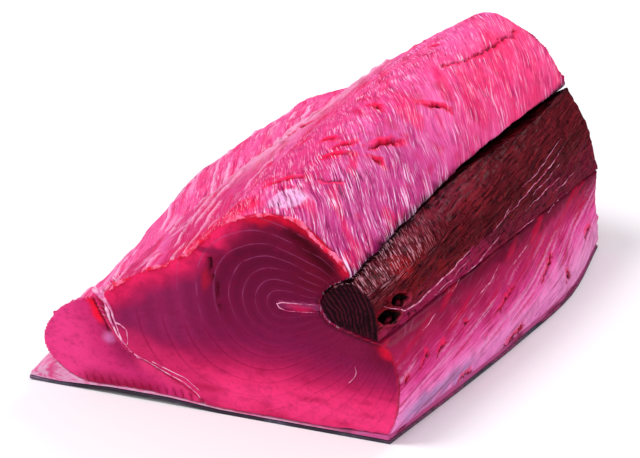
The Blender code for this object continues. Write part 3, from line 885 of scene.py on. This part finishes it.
def make_dark_muscle():
    flesh = remeshed("dark_muscle_flesh", "dark_muscle", voxel=0.72, smoothing=2)
    free = outer_share(flesh)
    _, cut = cuts_of(flesh)
    outside = 1 - cut
    x, y, z = flesh.co.T
    # the cut has wet ridges in arcs round its inner foot
    arcs = np.hypot(x - 62, 0.8 * (z - 58)) / 2.3
    zebra = arcs + 0.5 * flesh.noise(8, 213) + 0.25 * flesh.noise(3.5, 215)
    ridge = np.cos(2 * np.pi * zebra)
    # near the front the hairs of the top edge stand upright, as the fibres above them do
    upright = ease(-20, -90, y + 6 * flesh.noise(9, 216)) * ease(76, 88, z)
    lengthwise = np.c_[z - 0.25 * x - 0.10 * y + flesh.noise((12, 26, 12), 217), y, x]
    standing = np.c_[0.8 * y + 0.5 * x, z * 1.4, x]
    grain = np.where((upright > 0.5)[:, None], standing, lengthwise)
    bundles = noise(grain, (1.9, 20, 6), 221) + 0.6 * noise(grain, (1, 10, 4), 222)
    lumps = 0.8 * flesh.layers(18, 211) + 0.35 * flesh.noise(4, 212)
    push = outside * (0.38 * bundles + lumps) + cut * (0.36 * ridge + 0.3 * flesh.noise(8, 214))
    push += 0.9 * (1 - free) * ease(0, 0.3, free) * outside
    for along, height, length, width in VESSEL_MOUTHS:
        from_hole = vessel_distance(flesh, along, height, length, width)
        push += 0.9 * bump_at(np.abs(from_hole - 1.2), 0.4) - 3.2 * ease(1, 0.5, from_hole)
    flesh.push(push * np.where(free < 0.02, 0, 1))

    fine = flesh.noise(4, 262)
    mottle = flesh.layers(14, 263)
    flesh.tone[:] = linear(88, 20, 30)
    on_cut = flesh.painter(cut)
    on_outside = flesh.painter(outside)
    on_outside((106, 28, 38), 1, (0, 0.6, mottle))
    on_outside((60, 10, 18), 0.8, (-0.1, -0.8, bundles))
    on_outside((124, 20, 28), 0.7, (0.2, 0.7, flesh.noise((7, 16, 7), 264)), (20, -60, y))
    on_outside((126, 34, 56), 1, (84, 97, z + 3 * fine), (40, -60, y))
    lower_edge = ease(74, 60, z + 3 * fine + 5 * bundles)
    on_outside((116, 22, 52), 0.85 * lower_edge)
    on_outside((164, 32, 84), 0.85, (10, -60, y),
               (1, -1.5, z + fine + bundles - np.interp(y, SEPTUM_PLACES, SEPTUM_HEIGHTS)))
    wet_patch = oval(y + 117, 15, z - 83, 8)
    on_outside((158, 24, 34), 0.8, (0.1, 0.6, wet_patch + 0.2 * fine))
    paint = flesh.paint
    paint((30, 8, 16), cut)
    on_cut((80, 21, 40), 0.8, (0, 1, ridge + 0.5 * fine))
    # painted shade: near black along the top of the dark muscle's cut, where the groove opens
    roof, _ = to_line(np.c_[x, z], ((60, 72), (64, 79), (72, 85.5), (84, 90)))
    paint(CRACK_SHADE, cut, (5.6, 3.4, roof + 0.8 * fine))
    holes = [vessel_distance(flesh, *mouth) + 0.16 * fine for mouth in VESSEL_MOUTHS]
    from_hole = np.minimum(*holes)
    on_side = ease(92, 98, x) * (1 - cut)
    # the inside of each vessel mouth, where shade is painted
    hole_shade = ease(1.02, 0.86, from_hole) * ease(88, 94, x)
    deep = ease(100, 98.6, x) * ease(86, 90, x) * ease(1.8, 1.5, from_hole) * (cut < 0.1)
    hole_shade = np.maximum(hole_shade, deep)
    paint((116, 12, 28), 0.9 * on_side, (1.7, 1.15, from_hole))
    # painted highlight on the lower lip of each vessel mouth
    for hole, (_, height, _, _) in zip(holes, VESSEL_MOUTHS):
        lower_lip = bump_at(np.abs(hole - 1.08), 0.2) * ease(1, -2.5, z - height)
        paint((190, 54, 92), 0.75 * on_side * lower_lip)
    # painted shade: near black inside the vessel mouths
    paint((8, 2, 4), hole_shade)
    from_loin = gaps_to(flesh, [layer_trees["loin"]], 8.0)
    # painted shade on the dark muscle's wall of the groove, darkest next to the loin
    groove_shade = outside * ease(74, 80, z)
    paint((22, 4, 10), 0.9 * groove_shade, (5.5, 2, from_loin + 1.6 * fine))
    # pale upright hairs at the front of the top edge, partly painted sheen
    fibre_sheen = outside * np.clip(upright * ease(-50, -130, y), 0, 1) * ease(1.2, 1.8, from_hole)
    flesh.values = {"fibre_sheen": fibre_sheen, "hairy": outside * (1 - hole_shade), "grain": grain}
    return flesh.finish(dark_material(), "dark_flesh")


def dark_material():
    """Dark muscle: fine reddish hairs along the side, pale ones at the front edge that are partly painted
    sheen, wet ridges on the cuts.
    """
    made = Nodes("dark_muscle")
    grain, fibre_sheen = made.attribute("grain", "Vector"), made.attribute("fibre_sheen")
    outside = made.attribute("hairy")
    hairs = made.noise(grain, (1.25, 0.07, 0.25), detail=3.0, rough=0.65)
    bundles = made.noise(grain, (0.6, 0.035, 0.2))
    grit = made.noise(made.place, 330.0, detail=3.0, rough=0.65)
    tint, ramp = made.tint, made.ramp
    colour = tint(made.attribute("tone", "Color"), (140, 34, 42), ramp(bundles, 0.52, 0.68), outside, 0.55)
    colour = tint(colour, (34, 4, 10), ramp(hairs, 0.47, 0.36), outside, 0.9)
    colour = tint(colour, (150, 42, 56), ramp(hairs, 0.56, 0.66), outside, 0.5)
    colour = tint(colour, (24, 4, 10), ramp(grit, 0.45, 0.33), 0.75)
    # the pale hairs at the front edge, partly painted sheen
    colour = tint(colour, (214, 146, 164), ramp(hairs, 0.53, 0.61), fibre_sheen)
    height = made.total(hairs, made.product(grit, 0.6))
    return made.wet(colour, made.total(0.26, made.product(bundles, 0.2)), height, depth=0.0012, strength=1.0,
                    coat=0.05, coat_roughness=0.25)


# ---- fat and hide


def thin_layer(name, node, longest):
    """A dense copy of a thin layer, which keeps its own shape."""
    mesh = merged_copy(node)
    bm = bmesh.new()
    bm.from_mesh(mesh)

    def cut_into_triangles():
        bmesh.ops.triangulate(bm, faces=[face for face in bm.faces if len(face.verts) > 3])

    for _ in range(MOST_PASSES):
        long_edges = [edge for edge in bm.edges if edge.calc_length() > longest * MM * COARSE]
        if not long_edges or len(bm.faces) > MOST_LAYER_FACES:
            break
        bmesh.ops.subdivide_edges(bm, edges=long_edges, cuts=1)
        cut_into_triangles()
    bmesh.ops.dissolve_degenerate(bm, dist=SLIVER * MM, edges=bm.edges)
    cut_into_triangles()
    bmesh.ops.recalc_face_normals(bm, faces=bm.faces)
    bm.to_mesh(mesh)
    bm.free()
    return Flesh(name, mesh, node)


def make_fat():
    layer = thin_layer("fat_under_flesh", "fat_layer", longest=2.2)
    tip = ease(-80, -90, layer.x) * ease(0.2, 0.7, layer.no[:, 2])
    folds = noise(np.c_[layer.x + 0.3 * layer.y, layer.y, layer.z], (3.4, 17, 9), 301)
    layer.push(0.75 * tip * np.clip(0.3 + folds, 0, 1))
    x, y, z = layer.co.T
    layer.tone[:] = linear(214, 156, 188)
    layers = noise(np.c_[x + 0.3 * y, y, 3 * z], (3.4, 17, 3), 302)
    layer.paint((206, 52, 120), 0.9, (0.0, 0.4, layers), (-84, -92, x))
    layer.paint((220, 130, 176), 0.6, (0.1, 0.6, layer.noise(8, 303)))
    layer.paint((190, 84, 142), 1, (60, 100, x))
    layer.paint((110, 12, 50), 0.8, (60, 100, x), (0.1, 0.5, layer.noise((9, 16, 3), 304)))
    layer.values["grain"] = np.c_[z, y, x]
    layer.finish(fat_material(), "fat")


def fat_material():
    made = Nodes("soft_fat")
    layers = made.noise(made.attribute("grain", "Vector"), (1.2, 0.10, 0.2), detail=3.0)
    colour = made.tint(made.attribute("tone", "Color"), (214, 70, 132), made.ramp(layers, 0.5, 0.62), 0.6)
    return made.wet(colour, 0.35, layers, depth=0.0006, strength=0.7, coat=0.1)


def make_skin():
    layer = thin_layer("hide_under_flesh", "skin", longest=5.0)
    x, y, z = layer.co.T
    layer.tone[:] = linear(58, 46, 58)
    layer.paint((176, 128, 160), 1, (-88, -104, x), (0.0, 0.6, layer.no[:, 2] + 0.3))
    layer.paint((98, 94, 112), 0.6, (0.0, 0.5, layer.noise((14, 40, 6), 312)))
    smeared = ease(104, 116, x) * ease(0.2, 1.0, z)
    layer.paint((160, 62, 112), 0.95 * smeared, (-0.7, 0.0, layer.noise((9, 22, 6), 313)))
    layer.finish(skin_material(), "hide")


def skin_material():
    made = Nodes("fish_hide")
    scales = made.add("ShaderNodeTexVoronoi", feature="F1")
    made.join(made.place, scales.inputs["Vector"])
    made.join(420.0, scales.inputs["Scale"])
    height = scales.outputs["Distance"]
    colour = made.tint(made.attribute("tone", "Color"), (48, 44, 56), made.ramp(height, 0.35, 0.7), 0.5)
    return made.wet(colour, 0.32, height, depth=0.0005, strength=0.6, coat=0.12)


# ---- membranes and threads


def evenly(corners, step):
    """Points a step apart along a line of corners, rounded at the corners."""
    corners = np.asarray(corners, float)
    lengths = np.r_[0, np.cumsum(np.linalg.norm(np.diff(corners, axis=0), axis=1))]
    places = np.linspace(0, lengths[-1], max(int(lengths[-1] / step), 3))
    line = np.c_[[np.interp(places, lengths, corners[:, k]) for k in range(corners.shape[1])]].T
    for _ in range(2):
        line[1:-1] = (line[:-2] + 2 * line[1:-1] + line[2:]) / 4
    return line


def without_crumbs(mesh):
    """The mesh without the small loose lumps that a remesh leaves where a thread is very thin."""
    bm = bmesh.new()
    bm.from_mesh(mesh)
    seen = [False] * len(bm.verts)
    crumbs = []
    for start in bm.verts:
        if seen[start.index]:
            continue
        seen[start.index] = True
        lump = [start]
        for vert in lump:
            for edge in vert.link_edges:
                neighbour = edge.other_vert(vert)
                if not seen[neighbour.index]:
                    seen[neighbour.index] = True
                    lump.append(neighbour)
        if len(lump) < FEWEST_POINTS:
            crumbs += lump
    bmesh.ops.delete(bm, geom=crumbs, context="VERTS")
    bm.to_mesh(mesh)
    bm.free()
    return mesh


def strands(name, lines, material, slot, voxel, roughness):
    """Threads that lie on the surface: tubes along lines of (x, y, z, radius), fused and made uneven."""
    curve = bpy.data.curves.new(name, "CURVE")
    curve.dimensions = "3D"
    curve.bevel_depth = MM
    curve.bevel_resolution = 2
    curve.use_fill_caps = True
    for line in lines:
        spline = curve.splines.new("POLY")
        spline.points.add(len(line) - 1)
        for point, place in zip(spline.points, line):
            point.co = (*(place[:3] * MM), 1.0)
            point.radius = place[3]
    tubes = linked(name, curve)
    mesh = bpy.data.meshes.new_from_object(tubes.evaluated_get(bpy.context.evaluated_depsgraph_get()))
    bpy.data.objects.remove(tubes)
    flesh = Flesh(name, without_crumbs(fused(mesh, voxel, 2)))
    flesh.push(roughness * (flesh.noise(2.2, 401) + 0.5 * flesh.noise(0.9, 402)))
    flesh.finish(material, slot)


def on_front(tree, corners, lift, seed):
    """A line over the front cut, from (x, z, radius) corners, laid on the surface."""
    line = evenly(corners, LINE_STEP)
    wander = 0.35 * noise(np.c_[line[:, :2], np.full(len(line), seed)], 3.0, seed)
    found = []
    for (x, z, radius), shift in zip(line, wander):
        hit = tree.ray_cast(Vector((x + shift, -FAR_OFF, z)) * MM, Vector((0, 1, 0)))
        y = hit[0].y / MM if hit[0] else FRONT
        found.append((x + shift, min(y, FRONT + 2.0) - lift, z, radius))
    return np.array(found)


def on_side(tree, corners, radius, lift, seed):
    """A line over the right side, from (y, z) corners, laid on the surface and thinned to its ends."""
    line = evenly(corners, SIDE_LINE_STEP)
    wander = 0.5 * noise(np.c_[line, np.full(len(line), seed)], 6.0, seed)
    found = []
    for place, ((y, z), shift) in enumerate(zip(line, wander)):
        hit = tree.ray_cast(Vector((FAR_OFF, y, z + shift)) * MM, Vector((-1, 0, 0)))
        taper = min(1.0, 0.35 + 0.65 * 4 * (place / len(line)) * (1 - place / len(line)))
        if hit[0]:
            found.append((hit[0].x / MM + lift, y, z + shift, radius * taper))
    return np.array(found)


def strand_material(name, scale, edges, dark, light, grit=(900.0, 0.0004, 0.6), roughness=0.35, coat=0.1):
    """A finish for threads and shreds: clouds of two colours, and grit of a scale, depth and strength."""
    made = Nodes(name)
    clouds = made.ramp(made.noise(made.place, scale, detail=3.0), *edges)
    colour = made.tint((*linear(*dark), 1.0), light, clouds)
    return made.wet(colour, roughness, made.noise(made.place, grit[0]), *grit[1:], coat)


def thread_material():
    return strand_material("pale_threads", 180.0, (0.38, 0.62), (190, 56, 112), (238, 158, 192))


# (x, z, radius) corners on the front cut
SEAM_MEMBRANE = ((-66, 59.5, 1.5), (-62, 56.5, 1.6), (-57.8, 52, 1.15), (-55.4, 44.5, 0.85),
                 (-53.6, 40.5, 0.7), (-50.8, 35.9, 0.6), (-45.5, 28, 0.5), (-36.5, 24.2, 0.4),
                 (-26.6, 20.5, 0.34), (-10, 14.4, 0.3), (-3, 9.4, 0.28), (0.5, 5, 0.2))
SEAM_FOLD = ((-61, 58.5, 1.2), (-57.5, 54.8, 0.95), (-54.5, 50.5, 0.65), (-52.8, 45, 0.5),
             (-51.2, 40.5, 0.42), (-49.4, 36, 0.38), (-45.2, 29, 0.3))
SEAM_STRAND = ((-52.5, 42.6, 0.42), (-48.6, 41.6, 0.42), (-45.4, 39, 0.36), (-44.4, 35, 0.3),
               (-44.6, 30.5, 0.22))
SEAM_HAIR = ((-30, 23.5, 0.25), (-20, 20.2, 0.35), (-10, 17, 0.35), (-2, 11.5, 0.2))
SLIT_UPPER = ((43.6, 68.6, 0.3), (46, 70, 0.36), (50, 70.3, 0.27), (58, 71, 0.22), (68.5, 72.2, 0.18))
SLIT_LOWER = ((43.3, 69.3, 0.33), (45, 66.8, 0.34), (50, 65.6, 0.25), (58, 66.4, 0.2), (69, 68, 0.17))
HEART_WISP = ((88.5, 41, 0.16), (89.4, 37.5, 0.3), (88, 34, 0.2))
SHORT_WISP = ((83, 30, 0.14), (85.5, 31, 0.24), (88, 34, 0.2))
SIDE_THREADS = (
    # radius, then the (y, z) corners along the right side
    (0.5, ((-152, 74.5), (-148, 72.8), (-143, 70.4), (-137, 68.2), (-131, 64.8), (-126, 62.8), (-112, 62.3),
           (-89, 65), (-62, 68), (-40, 70))),
    (0.34, ((-83, 56), (-64, 58), (-34, 61.5), (0, 66))),
    (0.34, ((0, 72), (30, 72.5), (65, 74), (118, 78))),
    (0.34, ((33, 66), (65, 66.5), (98, 65.7))),
    (0.34, ((10, 60.5), (30, 59), (53, 57))),
    (0.34, ((59, 55), (85, 54.5), (109, 53))),
    (0.34, ((-122, 51), (-112, 52), (-102, 54))),
    (0.34, ((-8, 47), (10, 49), (27, 50))),
    (0.34, ((-60, 46), (-35, 49), (-15, 54))),
    (0.34, ((-100, 60), (-70, 62), (-45, 67))),
    (0.26, ((20, 77), (60, 77.5), (100, 81), (128, 84))),
    (0.26, ((36, 69.5), (70, 70.5), (112, 73))),
    (0.26, ((-30, 69), (-5, 71), (25, 76))),
    (0.26, ((72, 61.5), (96, 61), (124, 62))),
)
SHREDS = (
    # along the rim of the front cut: (x, drop below the rim, radius) from end to end
    ((48, 1, 0.4), (53, 0.2, 1.2), (58, 0.6, 1.5), (63, 1.6, 0.9), (66, 2.6, 0.4)),
    ((61, 3.4, 0.3), (66, 2.8, 0.9), (71, 2.2, 1.1), (75, 3, 0.5)),
    ((72, 1.2, 0.4), (77, 0.6, 1.2), (81, 1, 1), (84, 2.2, 0.4)),
    ((28, 1.4, 0.3), (34, 0.8, 0.9), (40, 1, 0.9), (45, 1.8, 0.4)),
    ((12, 1, 0.4), (17, 0.2, 1.1), (23, 0.6, 0.9), (27, 1.6, 0.3)),
    ((-14, 1.2, 0.4), (-8, 0.4, 1), (-2, 0.2, 1.2), (5, 1.2, 0.5)),
    ((-36, 1, 0.3), (-31, 0.4, 0.9), (-25, 0.4, 1), (-19, 1.4, 0.4)),
    ((-55, 0.6, 0.4), (-51, 0, 1.2), (-47, 0.4, 1.2), (-42, 1.2, 0.5)),
)


def on_rim(tree, line):
    """A line along the rim of the front cut, from (x, drop, radius) corners."""
    found = []
    for x, drop, radius in evenly(line, LINE_STEP):
        hit = tree.ray_cast(Vector((x, FRONT + 2.5, FAR_OFF)) * MM, Vector((0, 0, -1)))
        if hit[0]:
            found.append((x, FRONT - 0.1 * radius, hit[0].z / MM - drop, radius))
    return np.array(found)


def make_threads(front_tree, side_tree):
    """The membrane, the outline of the slit, the torn rim, and the long threads of the right side."""
    slit = [on_front(front_tree, line, 0.0, 31 + 2 * place)
            for place, line in enumerate((SLIT_UPPER, SLIT_LOWER, HEART_WISP, SHORT_WISP))]
    seam = [on_front(front_tree, line, lift, seed) for line, lift, seed in (
        (SEAM_MEMBRANE, 0.1, 3), (SEAM_FOLD, 0.2, 7), (SEAM_STRAND, 0.05, 11), (SEAM_HAIR, 0.1, 13))]
    shreds = [on_rim(front_tree, line) for line in SHREDS]
    threads = [on_side(side_tree, line, radius, 0.05, 20 + place)
               for place, (radius, line) in enumerate(SIDE_THREADS)]
    membrane = strand_material("white_membrane", 260.0, (0.35, 0.65), (212, 92, 152), (242, 184, 214))
    torn_flesh = strand_material("torn_flesh", 200.0, (0.4, 0.64), (214, 22, 62), (244, 110, 150),
                                 (700.0, 0.0006, 0.8), 0.3, 0.12)
    strands("heart_threads", slit, thread_material(), "fat", voxel=0.28, roughness=0.06)
    strands("seam_membrane", seam, membrane, "fat", voxel=0.32, roughness=0.12)
    strands("rim_shreds", shreds, torn_flesh, "red_flesh", voxel=0.42, roughness=0.5)
    strands("side_threads", threads, thread_material(), "fat", voxel=0.3, roughness=0.08)


# ---- stage


FLOOR_HALF = 4.0
FLOOR_COLOUR = (0.86, 0.86, 0.87, 1)
FLOOR_ROUGHNESS = 0.9
WORLD_COLOUR = (1.0, 0.98, 1.0, 1)
WORLD_LIGHT = 0.40
LAMPS = (
    # name, place, size, power in watts, colour
    ("key_light", (-0.8, -0.5, 1.8), 0.8, 27, (1.0, 0.97, 1.0)),
    ("fill_light", (0.6, -1.9, 0.9), 1.2, 13, (1.0, 0.98, 1.0)),
    ("side_light", (1.7, -0.5, 0.7), 1.0, 6, (1.0, 0.98, 1.0)),
    ("back_light", (0.3, 1.5, 1.3), 0.8, 16, (0.96, 0.94, 1.0)),
)
AIM = Vector((-0.007943, 0.01387, 0.04347))
CAMERA_TURN = math.radians(23.98)
CAMERA_RISE = math.radians(20.68)
CAMERA_REACH = 2.0
LENS = 195.9
SENSOR = 36.0


def make_stage():
    """A pale floor, and a pale sky."""
    bm = bmesh.new()
    bmesh.ops.create_grid(bm, x_segments=1, y_segments=1, size=FLOOR_HALF)
    mesh = bpy.data.meshes.new("floor")
    bm.to_mesh(mesh)
    bm.free()
    material = bpy.data.materials.new("pale_floor")
    material.use_nodes = True
    shader = material.node_tree.nodes["Principled BSDF"]
    shader.inputs["Base Color"].default_value = FLOOR_COLOUR
    shader.inputs["Roughness"].default_value = FLOOR_ROUGHNESS
    mesh.materials.append(material)
    floor = linked("floor", mesh)

    world = bpy.data.worlds.new("studio")
    world.use_nodes = True
    sky = world.node_tree.nodes["Background"]
    sky.inputs["Color"].default_value = WORLD_COLOUR
    sky.inputs["Strength"].default_value = WORLD_LIGHT
    bpy.context.scene.world = world
    bpy.context.scene.view_settings.view_transform = "Standard"


def make_lights():
    for name, place, size, power, colour in LAMPS:
        light = bpy.data.lights.new(name, "AREA")
        light.size = size
        light.energy = power
        light.color = colour
        lamp = linked(name, light)
        lamp.location = place
        lamp.rotation_euler = (AIM - Vector(place)).to_track_quat("-Z", "Y").to_euler()


def make_camera():
    level = math.cos(CAMERA_RISE)
    back = Vector((math.sin(CAMERA_TURN) * level, -math.cos(CAMERA_TURN) * level, math.sin(CAMERA_RISE)))
    camera = linked("camera", bpy.data.cameras.new("camera"))
    camera.data.lens = LENS
    camera.data.sensor_width = SENSOR
    camera.location = AIM + back * CAMERA_REACH
    camera.rotation_euler = (-back).to_track_quat("-Z", "Y").to_euler()
    bpy.context.scene.camera = camera


make_camera()
make_lights()
make_stage()
loin = make_loin()
side_lobe = make_side_lobe()
dark_muscle = make_dark_muscle()
make_threads(surface_of(loin.data, side_lobe.data), surface_of(loin.data, dark_muscle.data))
make_fat()
make_skin()
